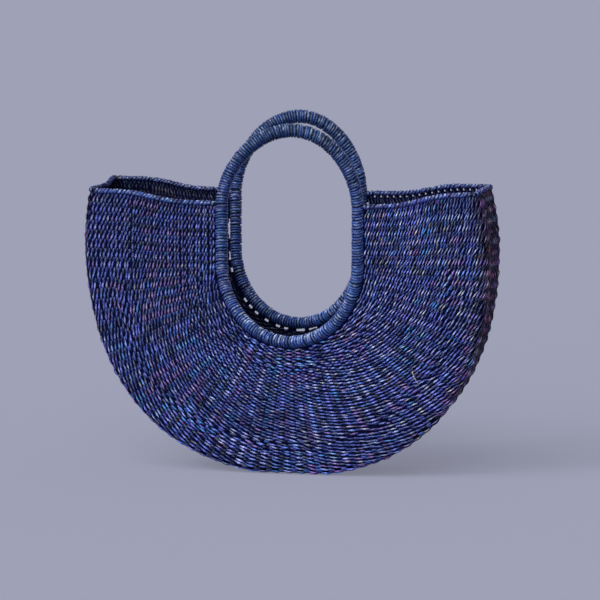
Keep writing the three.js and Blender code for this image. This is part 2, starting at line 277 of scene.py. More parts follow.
# How straw's colour is varied: by streaks along it, by clouds over the object, by specks and by its twist.
# Each stitch starts somewhere else on its map
STREAK_STRETCH = (0.22, 1.6, 1)
STREAK_GAIN = (0.4, 1.7)
CLOUD_GAIN = (0.8, 1.2)
SPECK_GAIN = (0.35, 1.75)
TWIST_GAIN = (0.85, 1.1)
ROUGHNESS_SPREAD = 0.12
MAP_SPREAD = 300

# Where windings, their cores, loose fibres and the stray straw lie on the baked map
WOUND_BAND = (0, 0.9)
CORE_BAND = (0.91, 0.99)
FIBRE_BAND = 0.9
STRAY_BAND = (0.92, 0.98)
BAKE_MARGIN = 0.04
CAP_INSET = 0.001

# Loose fibres, and one stray undyed straw on the front wall
FIBRES = 70
FIBRE_F = (0.02, 0.98)
FIBRE_Q = (0.04, 0.97)
FIBRE_LENGTHS = (3, 8)
FIBRE_TURN = 0.5
FIBRE_RISE = (0.02, 0.25)
FIBRE_SWEEP = (-0.4, 0.4)
FIBRE_HEIGHT = 1.5 * MM
FIBRE_RADIUS = 0.11 * MM
FIBRE_TAPER = 0.55
FIBRE_RINGS = 7
FIBRE_SIDES = 4
FIBRE_DYES = [4, 5, 6]
FIBRE_BRIGHTNESS = 1.2
STRAY_AT = (0.736, 0.636)
STRAY_WAY = (-0.765, 0.636)
STRAY_LENGTH = 12 * MM
STRAY_CURL = (0.05, -0.42)
STRAY_HEIGHT = 2.1 * MM
STRAY_RADIUS = 0.42 * MM

# Seeds of the random numbers
FAN_SEED = 20
HOLE_SEED = 5
PANEL_SEED = 100
GUSSET_SEED = 200
SEAM_SEED = 300
RING_SEED = 400
RIM_SEED = 500
FIBRE_SEED = 600

# How finely the lines are drawn
CURVE_POINTS = 1200
LIMB_POINTS = 200
FOLD_POINTS = 2001
RIM_POINTS = 400

# The photograph's view and its backdrop
PHOTO_PIXELS = 600
METRES_PER_PIXEL = 0.00095
CAMERA_AZIMUTH = math.radians(12.5)
CAMERA_ELEVATION = math.radians(7.6)
CAMERA_DISTANCE = 4.5
AIM_HEIGHT = 0.214
AIM_RIGHT = 0.00697
AIM_DOWN = 0.05165
SENSOR = 36
BACKDROP = (0.347, 0.356, 0.468, 1)
FLOOR_REACH = 30
FLOOR_EVEN = 0.55
FLOOR_GAP = 0.02 * MM
FILL_LIGHT = 0.36


def unit(v):
    return v / np.linalg.norm(v, axis=-1, keepdims=True)


def dot(a, b):
    return np.sum(a * b, axis=-1, keepdims=True)


def stacked(*parts):
    return np.stack(parts, axis=-1)


def placed(name, data):
    """A new object in the scene."""
    made = bpy.data.objects.new(name, data)
    bpy.context.scene.collection.objects.link(made)
    return made


def smooth(x):
    t = np.clip(x, 0, 1)
    return t * t * (3 - 2 * t)


class Line:
    """A line in the plane of a wall, read by the share of its length."""

    def __init__(self, x, z):
        self.x, self.z = x, z
        reach = np.concatenate([[0], np.cumsum(np.hypot(np.diff(x), np.diff(z)))])
        self.length = reach[-1]
        self.share = reach / reach[-1]

    def point(self, f):
        return np.interp(f, self.share, self.x), np.interp(f, self.share, self.z)

    def tangent(self, f):
        near = 1e-3
        low, high = np.clip(f - near, 0, 1), np.clip(f + near, 0, 1)
        (x0, z0), (x1, z1) = self.point(low), self.point(high)
        length = np.hypot(x1 - x0, z1 - z0)
        return (x1 - x0) / length, (z1 - z0) / length


class Half:
    """One wall with its ring: the front or the back half of the bag. Sizes in millimetres.

    ring: how far it stands to the right, half width, length and bottom of its limbs, drop of its bowl
    arch: its rise and how far its top stands to the right
    tips: the heights of the fold's left and right ends
    shifts: how far the fold stands to the right at its widest and at its bottom
    """

    def __init__(self, name, side, ring, arch, tips, shifts):
        self.name, self.side, self.body = name, side, name + "_side"
        self.shift, width, self.limb, self.limb_bottom, bowl = (size * MM for size in ring)
        self.tips = [tip * MM for tip in tips]
        self.fold = self.fold_line(*(shift * MM for shift in shifts))
        top = self.limb_bottom + self.limb
        angle = np.linspace(math.pi, 2 * math.pi, CURVE_POINTS)
        limb_z = np.linspace(top, self.limb_bottom, LIMB_POINTS)[:-1]
        side_x = np.full(len(limb_z), width)
        bowl_z = self.limb_bottom + bowl * np.sin(angle)
        self.lower = Line(
            np.concatenate([-side_x, width * np.cos(angle), side_x]),
            np.concatenate([limb_z, bowl_z, limb_z[::-1]]),
        )
        angle = np.linspace(0, math.pi, CURVE_POINTS)
        slimmer = 1 - ARCH_POINT * np.sin(2 * angle) ** 2
        rise = np.sin(angle) * slimmer
        arch_rise, arch_shift = arch[0] * MM, arch[1] * MM
        self.upper = Line(width * np.cos(angle) * slimmer + arch_shift * rise**2, top + arch_rise * rise)

    def fold_line(self, widest_shift, bottom_shift):
        left, right = (math.asin((tip - WIDEST_HEIGHT) / MID_HALF_HEIGHT) for tip in self.tips)
        angle = np.linspace(math.pi - left, 2 * math.pi + right, FOLD_POINTS)
        fuller = 1 + np.where(np.sin(angle) < 0, FOLD_FULLNESS * np.sin(2 * angle) ** 2, 0)
        z = WIDEST_HEIGHT + MID_HALF_HEIGHT * np.sin(angle) * fuller
        shift = bottom_shift + (widest_shift - bottom_shift) * z / WIDEST_HEIGHT
        return Line(MID_HALF_WIDTH * np.cos(angle) * fuller + shift, z)


FRONT = Half("front", -1, (6.3, 65.5, 52, 202, 74.5), (74, 3), (264.5, 268.5), (0.6, 6.1))
BACK = Half("back", 1, (-3.8, 61.5, 52, 206, 72), (75.4, 1.5), (267.5, 268.5), (-0.4, -0.4))
FLAT_SHARE = 1 - 2 * FRONT.fold.share[np.argmax(FRONT.fold.z < WALL / 2)]


def rising_share(f):
    """0 over the flat bottom, 1 at the tips."""
    return smooth((np.abs(2 * f - 1) - FLAT_SHARE) / (1 - FLAT_SHARE))


def limb_shares(half):
    """The shares of the fold that the stakes of the left and the right straight limb reach."""
    return [(tip - half.limb_bottom) / half.fold.length for tip in half.tips]


def ring_share(half, f):
    """How far round the ring a stake starts that crosses the fold at f."""
    on_ring = half.limb / half.lower.length
    left, right = limb_shares(half)
    return np.interp(f, [0, left, 1 - right, 1], [0, on_ring, 1 - on_ring, 1])


def half_depth(f):
    mouth = np.where(f < 0.5, LEFT_MOUTH_DEPTH, RIGHT_MOUTH_DEPTH)
    return (GUSSET_DEPTH + (mouth - GUSSET_DEPTH) * (1 - 2 * f) ** 2) / 2


def fold_point(half, f):
    x, z = half.fold.point(f)
    return stacked(x, half.side * half_depth(f), np.maximum(z, WALL / 2))


def seam_point(f):
    p = (fold_point(FRONT, f) + fold_point(BACK, f)) / 2
    tx, tz = FRONT.fold.tangent(f)
    tuck = GUSSET_TUCK * rising_share(f)
    return stacked(p[..., 0] - tz * tuck, np.zeros_like(tuck), p[..., 2] + tx * tuck)


def ring_edge(half, f):
    g = ring_share(half, f)
    x, z = half.lower.point(g)
    tx, tz = half.lower.tangent(g)
    reach = WINDING_RADIUS + SEAT_GAP
    y = np.full_like(x, half.side * RING_SPREAD / 2)
    return stacked(x + half.shift + tz * reach, y, z - tx * reach)


def uneven(half, f, q):
    """How far a handmade wall stands proud of the true form."""
    starts = (half.side, 2 * half.side, 4)
    wave = 0
    for (share, along, across), start in zip(UNEVEN_WAVES, starts):
        wave = wave + share * np.sin(2 * math.pi * (along * f + across * q) + start)
    return UNEVEN * wave * np.sin(math.pi * q) ** 2


def wall_point(half, f, q):
    """A point in the middle of the wall. q is 0 beside the ring, 1 on the fold and 2 on the seam."""
    f, q = np.broadcast_arrays(np.asarray(f, float), np.asarray(q, float))
    start, corner, end = ring_edge(half, f), fold_point(half, f), seam_point(f)
    wall, gusset = unit(corner - start), unit(end - corner)
    wall_straight = np.linalg.norm(corner - start, axis=-1) - FOLD_RADIUS
    gusset_straight = np.linalg.norm(end - corner, axis=-1) - FOLD_RADIUS
    wall_length = wall_straight + HALF_TURN
    along = np.where(q < 1, q * wall_length, wall_length + (q - 1) * (gusset_straight + HALF_TURN))
    past = (along - wall_straight)[..., None]
    turn = np.clip(past / FOLD_RADIUS, 0, math.pi / 2)
    on_wall = start + wall * along[..., None]
    on_fold = corner + wall * FOLD_RADIUS * (np.sin(turn) - 1)
    on_fold = on_fold + gusset * FOLD_RADIUS * (1 - np.cos(turn))
    on_gusset = corner + gusset * (FOLD_RADIUS + past - 2 * HALF_TURN)
    p = np.where(past < 0, on_wall, np.where(past < 2 * HALF_TURN, on_fold, on_gusset))
    swell = BULGE_LEFT_AT_TIPS + (1 - BULGE_LEFT_AT_TIPS) * np.sin(math.pi * f)
    bulge = WALL_BULGE * np.sin(math.pi * q) ** 2 * swell + uneven(half, f, q)
    sway = np.sin(2 * math.pi * q) * np.sin(math.pi * q) * np.exp(-np.minimum(f, 1 - f) / SWAY_REACH)
    p[..., 1] += np.where(q < 1, half.side * bulge, 0)
    p[..., 2] -= np.where(q < 1, RIM_SWAY * sway, 0)
    return p


def wall_frame(half, f, q):
    """The point, the directions along fold and stake, the outward normal and metres per unit of f."""
    step = 2e-3
    f, q = np.broadcast_arrays(np.asarray(f, float), np.asarray(q, float))
    low, high = np.clip(f - step, 0, 1), np.clip(f + step, 0, 1)
    change = wall_point(half, high, q) - wall_point(half, low, q)
    stretch = np.linalg.norm(change, axis=-1) / (high - low)
    q_low, q_high = np.clip(q - step, 0, 2), np.clip(q + step, 0, 2)
    across = unit(wall_point(half, f, q_high) - wall_point(half, f, q_low))
    along = unit(change)
    normal = unit(np.cross(along, across)) * half.side
    return wall_point(half, f, q), along, across, normal, stretch


def row_height(half, f, q, share):
    """The width of a row that takes this share of a unit of q."""
    near = 0.01
    low, high = np.clip(q - near, 0, 2), np.clip(q + near, 0, 2)
    change = wall_point(half, f, high) - wall_point(half, f, low)
    return np.linalg.norm(change, axis=-1) / (high - low) * share


class Route:
    """A line in space, read by the length along it, with a frame that doesn't twist."""

    def __init__(self, points, reference):
        self.points, self.reference = points, np.array(reference, float)
        self.reach = np.concatenate([[0], np.cumsum(np.linalg.norm(np.diff(points, axis=0), axis=1))])
        self.length = self.reach[-1]
        self.tangents = unit(np.gradient(points, self.reach, axis=0))

    def at(self, s):
        p = np.stack([np.interp(s, self.reach, column) for column in self.points.T], axis=-1)
        t = unit(np.stack([np.interp(s, self.reach, column) for column in self.tangents.T], axis=-1))
        first = unit(self.reference - dot(self.reference, t) * t)
        return p, t, first, np.cross(t, first)


def ring_route(half, line):
    y = np.full_like(line.x, half.side * RING_SPREAD / 2)
    return Route(stacked(line.x + half.shift, y, line.z), (0, 1, 0))


def rim_route(half, at_left, first_q, last_q):
    """The middle of the rim, just past the wall's top edge."""
    q = np.linspace(first_q, last_q, RIM_POINTS)
    f = np.full_like(q, 0.0 if at_left else 1.0)
    p, along, _, _, _ = wall_frame(half, f, q)
    reach = RIM_RADIUS + SEAT_GAP
    return Route(p + along * (-reach if at_left else reach), (0, 0, 1))


class Piece:
    """Gathers strands, stitches and sheets into one mesh with its dyes and its two texture maps."""

    def __init__(self):
        self.points, self.faces, self.dyes, self.strand, self.bake = [], [], [], [], []
        self.count = 0

    def add(self, points, faces, dyes, strand, bake):
        """faces, strand and bake are lists that go together: faces, and the two maps of their corners."""
        self.points.append(points)
        self.dyes.append(np.broadcast_to(dyes, points.shape))
        for corners, along, place in zip(faces, strand, bake):
            self.faces.append(corners + self.count)
            self.strand.append(along.reshape(-1, 2))
            self.bake.append(place.reshape(-1, 2))
        self.count += len(points)

    def mesh(self, name, material, slot, *replaced):
        mesh = bpy.data.meshes.new(name)
        sizes = np.concatenate([np.full(len(f), f.shape[1]) for f in self.faces]).astype(np.int32)
        loops = np.concatenate([f.reshape(-1) for f in self.faces]).astype(np.int32)
        points = np.concatenate(self.points).astype(np.float32)
        mesh.vertices.add(len(points))
        mesh.vertices.foreach_set("co", points.reshape(-1))
        mesh.loops.add(len(loops))
        mesh.loops.foreach_set("vertex_index", loops)
        mesh.polygons.add(len(sizes))
        mesh.polygons.foreach_set("loop_start", np.cumsum(sizes).astype(np.int32) - sizes)
        mesh.polygons.foreach_set("loop_total", sizes)
        mesh.update(calc_edges=True)
        mesh.polygons.foreach_set("use_smooth", np.full(len(sizes), True))
        dyes = np.concatenate(self.dyes)
        rgba = np.concatenate([dyes, np.ones((len(dyes), 1))], axis=1).astype(np.float32)
        mesh.attributes.new("dye", "FLOAT_COLOR", "POINT").data.foreach_set("color", rgba.reshape(-1))
        for label, uv in (("strand", self.strand), ("OFBake", self.bake)):
            layer = mesh.uv_layers.new(name=label)
            layer.data.foreach_set("uv", np.concatenate(uv).astype(np.float32).reshape(-1))
        mesh.materials.append(material)
        piece = placed(name, mesh)
        if replaced:
            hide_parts(*replaced)
        return piece


def inset(share):
    """Keeps a share clear of both edges of its cell of the baked map."""
    return BAKE_MARGIN + (1 - 2 * BAKE_MARGIN) * share


def stitch_form(sides, rings):
    """A stitch drawn once, from -1 to 1: for each point its place, its angle and its share of the width."""
    places = np.sin(np.linspace(-1, 1, rings + 2)[1:-1] * math.pi / 2) * LAST_RING_AT
    t = np.concatenate([[-1], np.repeat(places, sides), [1]])
    angle = np.concatenate([[0], np.tile(2 * math.pi * np.arange(sides) / sides, rings), [0]])
    swell = np.clip(1 - np.abs(t) ** SWELL_POWERS[0], 0, 1) ** SWELL_POWERS[1]
    k = np.arange(sides)
    n = (k + 1) % sides
    v = stacked(k, k + 1) / sides
    rows = 1 + sides * np.arange(rings - 1)[:, None]
    quads = stacked(rows + k, rows + n, rows + sides + n, rows + sides + k).reshape(-1, 4)
    last = 1 + sides * (rings - 1)
    head = stacked(np.zeros_like(k), 1 + n, 1 + k)
    tail = stacked(last + k, last + n, np.full_like(k, len(t) - 1))
    tris = np.concatenate([head, tail])
    quad_v = np.tile(v[:, [0, 1, 1, 0]], (rings - 1, 1))
    tri_v = np.tile(v[:, [0, 1, 0]], (2, 1))
    maps = [stacked((t[quads] + 1) / 2, quad_v), stacked((t[tris] + 1) / 2, tri_v)]
    return t, angle, swell, [quads, tris], maps


def add_stitches(piece, at, length, width, thick, crest, dyes, glint, detail, rng):
    """Each stitch is a strand that rises over a stake and dips behind the wall at both ends."""
    base, along, side, normal = at
    t, angle, swell, faces, maps = stitch_form(*detail)
    count = len(base)
    out = width[:, None] * swell * np.cos(angle)
    lift = crest[:, None] - (crest + STITCH_DIP)[:, None] * np.abs(t) ** STITCH_BEND
    lift = lift + thick[:, None] * swell * np.sin(angle)
    points = base[:, None] + along[:, None] * (length[:, None] * t)[..., None]
    points = points + side[:, None] * out[..., None] + normal[:, None] * lift[..., None]
    points[..., 2] = np.maximum(points[..., 2], FLOOR_GAP)
    # Painted shade: darker towards the ends, where they dip behind the wall, and in the groove away from
    # the ring
    shade = CREST_SHADE[0] + CREST_SHADE[1] * np.exp(-(t / CREST_REACH) ** 2)
    side_shade = SIDE_SHADE[0] + SIDE_SHADE[1] * np.cos(angle - BRIGHT_SIDE)
    shade = shade * np.clip(side_shade, GROOVE_SHADE, RIDGE_SHADE)
    # Painted highlight on the crest of the stitch
    glint_spot = np.clip(1 - (t / GLINT_REACH) ** 2, 0, 1)
    glint_spot = glint_spot * np.clip(np.cos(angle - GLINT_SIDE), 0, 1) ** GLINT_EDGE
    painted_glint = (glint[:, None] * glint_spot)[..., None]
    colours = dyes[:, None] * shade[:, None] * (1 - painted_glint) + GLINT_DYE * painted_glint
    offset = (np.arange(count) * len(t))[:, None, None]
    grid = math.ceil(math.sqrt(count))
    cell = stacked(np.arange(count) % grid, np.arange(count) // grid)[:, None, None] / grid
    start = rng.random((count, 1, 1, 2)) * MAP_SPREAD
    size = stacked(2 * length, 2 * math.pi * width)[:, None, None] / MM
    piece.add(
        points.reshape(-1, 3),
        [(f[None] + offset).reshape(-1, f.shape[1]) for f in faces],
        colours.reshape(-1, 3),
        [m[None] * size + start for m in maps],
        [cell + inset(m[None]) / grid for m in maps],
    )


def add_tube(piece, centres, first, second, radii, sides, dyes, band=(0, 1), per_row=None):
    """A closed tube with an oval section, dyed by ring or by point.

    band is the share of the baked map that it takes, and per_row the segments side by side on it.
    """
    count = len(centres)
    angle = 2 * math.pi * np.arange(sides) / sides
    out = np.cos(angle)[:, None] * first[:, None] * np.reshape(radii[0], (-1, 1, 1))
    up = np.sin(angle)[:, None] * second[:, None] * np.reshape(radii[1], (-1, 1, 1))
    points = centres[:, None] + out + up
    k = np.arange(sides)
    n = (k + 1) % sides
    rows = sides * np.arange(count - 1)[:, None]
    quads = stacked(rows + k, rows + n, rows + sides + n, rows + sides + k)
    caps = np.stack([k[::-1], k + sides * (count - 1)])
    reach = np.concatenate([[0], np.cumsum(np.linalg.norm(np.diff(centres, axis=0), axis=1))]) / MM
    girth = math.pi * float(np.mean(radii[0]) + np.mean(radii[1])) / MM
    u = stacked(reach[:-1], reach[:-1], reach[1:], reach[1:])[:, None].repeat(sides, axis=1)
    v = stacked(k, k + 1, k + 1, k)[None].repeat(count - 1, axis=0) / sides
    per_row = per_row or count - 1
    segment = np.arange(count - 1)
    low = (segment % per_row) / per_row
    high = low + 1 / per_row
    across = stacked(low, low, high, high)[:, None].repeat(sides, axis=1)
    down = ((segment // per_row)[:, None, None] + inset(v)) / math.ceil((count - 1) / per_row)
    down = band[0] + (band[1] - band[0]) * down
    flat = np.zeros((2, sides, 2)) + np.array([CAP_INSET, band[0] + CAP_INSET])
    dyes = dyes if np.ndim(dyes) == 3 else np.reshape(dyes, (-1, 1, 3))
    piece.add(
        points.reshape(-1, 3),
        [quads.reshape(-1, 4), caps],
        np.broadcast_to(dyes, points.shape).reshape(-1, 3),
        [stacked(u, v * girth), np.zeros((2, sides, 2))],
        [stacked(across, down), flat],
    )


def add_sheet(piece, outer, inner, keep, dyes):
    """A sheet with two skins on grids of points. Cells that aren't kept are holes with closed sides."""
    rows, columns = outer.shape[:2]
    skin = rows * columns
    index = np.arange(skin).reshape(rows, columns)
    cells = stacked(index[:-1, :-1], index[:-1, 1:], index[1:, 1:], index[1:, :-1])
    padded = np.pad(keep, 1)
    faces = [cells[keep], cells[keep][:, ::-1] + skin]
    for a, b, (di, dj) in ((0, 1, (-1, 0)), (1, 2, (0, 1)), (2, 3, (1, 0)), (3, 0, (0, -1))):
        open_side = ~padded[1 + di:rows + di, 1 + dj:columns + dj]
        cell = cells[keep & open_side]
        faces.append(stacked(cell[:, b], cell[:, a], cell[:, a] + skin, cell[:, b] + skin))
    faces = np.concatenate(faces)
    points = np.concatenate([outer.reshape(-1, 3), inner.reshape(-1, 3)])
    corner = cells[rows // 2, columns // 2]
    a, b, c, d = points[corner]
    if np.dot(np.cross(c - a, d - b), points[corner[0] + skin] - a) > 0:
        faces = faces[:, ::-1]
    i, j = np.divmod(faces % skin, columns)
    second = (faces >= skin).all(axis=1, keepdims=True)
    place = stacked(j / columns, (i / rows + second) / 2)
    step = np.linalg.norm(outer[rows // 2, 1] - outer[rows // 2, 0]) / MM
    piece.add(points, [faces], dyes, [stacked(j * step, i * step)], [place])


def dye_runs(rng, rows, columns, runs):
    """The dye of each stitch. Two strands take turns in a row, and each keeps its shade for a while.

    Most strands are dyed like the ones in the row before, so that the wall has patches of blue and purple.
    """
    picked = np.zeros((rows, columns), int)
    for row in range(rows):
        picked[row] = picked[row - 1]
        for strand in (0, 1):
            at = strand
            while at < columns:
                run = 2 * int(rng.integers(*runs))
                if row == 0 or rng.random() < FRESH_DYE:
                    picked[row, at:at + run:2] = rng.choice(len(DYES), p=DYE_SHARE)
                at += run
    fresh = rng.random(picked.shape) < ODD_DYE
    picked[fresh] = rng.choice(len(DYES), fresh.sum(), p=DYE_SHARE)
    return DYES[picked] * rng.uniform(*BRIGHTNESS, (rows, columns, 1))


def fan_starts():
    """Where each stake of the fan starts: the first ones at the ring, the others in between further out."""
    starts = [-1.0] * FIRST_FAN_STAKES
    for count, q in ADDED_STAKES:
        spread = []
        for i, start in enumerate(starts):
            spread.append(start)
            if (i + 1) * count // len(starts) > i * count // len(starts):
                spread.append(q)
        starts = spread
    return np.array(starts)


FAN_STARTS = fan_starts()
FAN_STARTS += np.random.default_rng(FAN_SEED).uniform(0, START_SPREAD, len(FAN_STARTS))
COLUMNS = LEFT_STAKES + len(FAN_STARTS) + RIGHT_STAKES


def stake_edges(half, q):
    """The stakes that reach q, and where the cell of each one begins and ends along the wall."""
    grown = smooth((q - FAN_STARTS) / STAKE_GROWTH)
    grown[grown < LEAST_GROWTH] = 0
    left, right = limb_shares(half)
    weights = np.concatenate([
        np.full(LEFT_STAKES, left / LEFT_STAKES),
        grown / grown.sum() * (1 - left - right),
        np.full(RIGHT_STAKES, right / RIGHT_STAKES),
    ])
    edges = np.concatenate([[0], np.cumsum(weights)])
    into_fan = np.clip((edges - left) / (1 - left - right), 0, 1)
    edges = edges - STAKE_DRIFT * np.sin(2 * math.pi * into_fan) * (min(q, 1) - 0.5)
    edges = EDGE_F + (1 - 2 * EDGE_F) * edges
    active = np.flatnonzero(weights > 0)
    return active, edges[active], edges[active + 1]


def row_shift(half, f, q):
    """How much further out a row runs under the ring than beside it."""
    left, right = limb_shares(half)
    into_fan = np.minimum(f - left, 1 - f - right)
    return ROW_SHIFT * smooth(into_fan / SHIFT_REACH) * (1 - np.minimum(q, 1) ** 2)


def panel_q(half, row, f):
    """Where a row of a panel runs. Whole numbers are the lines between rows, counted out from the ring."""
    near = NEAR_ROWS + MORE_ROWS * smooth((f - RIGHT_FROM) / (RIGHT_TO - RIGHT_FROM))
    far_q = NEAR_Q + (row - near) * np.interp(f, FAR_ROWS_AT, FAR_ROWS)
    q = np.where(row < near, row * NEAR_Q / near, far_q)
    return q + row_shift(half, f, q)


def gusset_q(half, row, f):
    return 1 + (SEAM_Q - 1) / GUSSET_ROWS * row + 0 * f


def seam_q(half, row, f):
    return SEAM_Q + (2 - SEAM_Q) * row + 0 * f


# For each stretch of wall: where its rows run, their numbers, and the q at which its stitches end
PANEL_ROWS = (panel_q, range(-SHORT_ROWS, MOST_ROWS), LAST_PANEL_Q)
GUSSET_WEAVE_ROWS = (gusset_q, range(GUSSET_ROWS), 2)
SEAM_ROWS = (seam_q, range(1), 2)


def stitch_places(half, rows, crossing, rng):
    """For each stitch its place, the size of its cell, its column and its row."""
    found = []
    place, numbers, last_q = rows
    for row in numbers:
        active, low, high = stake_edges(half, float(place(half, row + 0.5, 0.5)))
        f, spread = (low + high) / 2, high - low
        if crossing:
            spread = np.diff(np.concatenate([[2 * low[0] - f[0]], f, [2 * high[-1] - f[-1]]]))
            active, f = np.append(active, COLUMNS), np.append(low, high[-1])
        wander = np.interp(f, np.linspace(0, 1, WANDER_KNOTS), rng.normal(0, ROW_WANDER, WANDER_KNOTS))
        wander = wander + rng.normal(0, STITCH_WANDER, len(f))
        number = row + 0.5 - crossing * np.interp(f, LEAN_AT, CROSSING_SHIFTS)
        step = place(half, number + 0.5, f) - place(half, number - 0.5, f)
        q = place(half, number, f) + wander * step
        found.append(stacked(f, q, spread, step, active, np.full_like(f, row - numbers[0])))
    found = np.concatenate(found)
    first_q = FRONT_EDGE_Q if half is FRONT else BACK_EDGE_Q
    found = found[(found[:, 1] > first_q) & (found[:, 1] < last_q)]
    if rows is SEAM_ROWS:
        found = found[np.abs(found[:, 0] - 0.5) < 0.5 - 2 * EDGE_F]
    if half is BACK:
        found = found[~((found[:, 0] > 1 - 2 * EDGE_F) & (found[:, 5] % 2 == 0) & (found[:, 1] < 1))]
    f, q, spread, step, column, row = found.T
    return f, q, spread, step, column.astype(int), row.astype(int)


def wall_tint(f, q):
    """How the dye changes: browner on the gusset, painted lighter under the bag as light, and painted
    darker at the left as shade.
    """
    beside = rising_share(f)
    start = np.where(f < 0.5, BROWN_FROM_LEFT, BROWN_FROM_RIGHT)
    browner = smooth((q - start) / BROWN_REACH) * beside
    browner = browner + smooth((q - BROWN_BELOW_FROM) / BROWN_BELOW_REACH) * (1 - beside)
    underside_light = UNDERSIDE_GAIN * smooth((q - UNDERSIDE_LIGHT_FROM) / UNDERSIDE_LIGHT_REACH) * (1 - beside)
    painted_left_shade = np.interp(f, (0, LEFT_SHADE_REACH), (LEFT_SHADE, 1))
    return (1 + (GUSSET_TINT - 1) * browner[:, None]) * (painted_left_shade + underside_light)[:, None]


def add_weave(piece, half, rows, kind, outside, rng):
    """All the stitches of one kind on one face of one stretch of wall."""
    f, q, spread, step, column, row = stitch_places(half, rows, kind is CROSSING, rng)
    half_length, half_width, half_thickness, crest_height, shade = kind
    count = len(f)
    p, along, across, normal, stretch = wall_frame(half, f, q)
    height = row_height(half, f, q, step)
    near = 0.004
    rise = row_shift(half, f + near, q) - row_shift(half, f - near, q)
    tilt = np.arctan2(rise * height / step, 2 * near * stretch)
    lean = np.interp(f, LEAN_AT, LEANS) * (LEAN_BY_RING + (1 - LEAN_BY_RING) * smooth(q / LEAN_REACH))
    lean = lean + rng.normal(0, LEAN_NOISE, count)
    face = 1 if outside else -1
    slope = tilt + face * lean
    direction = along * np.cos(slope)[:, None] + across * np.sin(slope)[:, None]
    normal = normal * face
    side = np.cross(normal, direction)
    length = half_length * spread * stretch / np.cos(lean) * rng.normal(1, LENGTH_NOISE, count)
    width = half_width * height * np.cos(lean) * rng.normal(1, WIDTH_NOISE, count)
    crest = crest_height * rng.normal(1, CREST_NOISE, count)
    thick = half_thickness * rng.normal(1, THICKNESS_NOISE, count)
    # The inside of the wall is painted darker, as shade
    tint = wall_tint(f, q) * (1 if outside else INSIDE_SHADE)
    # The kind's shade sets the dye's brightness and paints the crossing strands darker, as shade between
    # stakes
    dyes = dye_runs(rng, row.max() + 1, COLUMNS + 1, WEAVE_RUNS)[row, column] * tint * shade
    dyes = dyes * rng.uniform(1 - GUSSET_CONTRAST * (q > 1), 1 + GUSSET_CONTRAST * (q > 1))[:, None]
    # Painted highlights on the crests of a few stitches, more of them to the right
    glint = rng.random(count) ** GLINT_RARITY * tint.mean(axis=1) * np.interp(f, GLINT_AT, GLINT_SHARE)
    glint *= outside * (1 if kind is OVER_STAKE else CROSSING_GLINT)
    detail = OVER_STAKE_DETAIL if kind is OVER_STAKE else CROSSING_DETAIL
    detail = detail if outside else INSIDE_DETAIL
    at = (p, direction, side, normal)
    add_stitches(piece, at, length, width, thick, crest, dyes, glint, detail, rng)


def add_ground(piece, half, first_q, last_q, rows, keep_cell, tint=1.0):
    """The stakes: a sheet inside the weave, dyed near black as painted shade between the stitches, with a
    few holes.
    """
    f = np.linspace(EDGE_F, 1 - EDGE_F, CELLS_PER_STAKE * COLUMNS + 1)
    f = np.concatenate([[0, 0], f, [1, 1]])
    q = np.linspace(first_q, last_q, rows + 1)
    if first_q == 0:
        q = np.concatenate([[0], q])
    f_grid, q_grid = np.meshgrid(f, q, indexing="ij")
    p, along, across, normal, _ = wall_frame(half, f_grid, q_grid)
    p[0] -= along[0] * EDGE_TUCK
    p[-1] += along[-1] * EDGE_TUCK
    if first_q == 0:
        p[:, 0] -= across[:, 0] * EDGE_TUCK
    keep = keep_cell(*np.meshgrid(np.arange(len(f) - 1), np.arange(len(q) - 1), indexing="ij"))
    add_sheet(piece, p + normal * SHEET_HALF, p - normal * SHEET_HALF, keep, PAINTED_SHADE_DYE * tint)


def no_holes(i, j):
    return np.full(i.shape, True)


def back_holes(i, j):
    """Light shows through beside the back ring and under the back rim on the right."""
    cells = CELLS_PER_STAKE * COLUMNS + 2 * EDGE_CELLS
    picked = np.random.default_rng(HOLE_SEED).random(cells // DASH_CELLS + 1) < DASH_SHARE
    dashes = np.repeat(picked, DASH_CELLS)
    by_ring = (j <= 1) & dashes[i] & (i >= EDGE_CELLS) & (i < cells - EDGE_CELLS)
    under_rim = (i >= cells - EDGE_CELLS) & (j % RIM_HOLE_STEP == 1) & (j > RIM_HOLE_STEP)
    return ~(by_ring | under_rim)


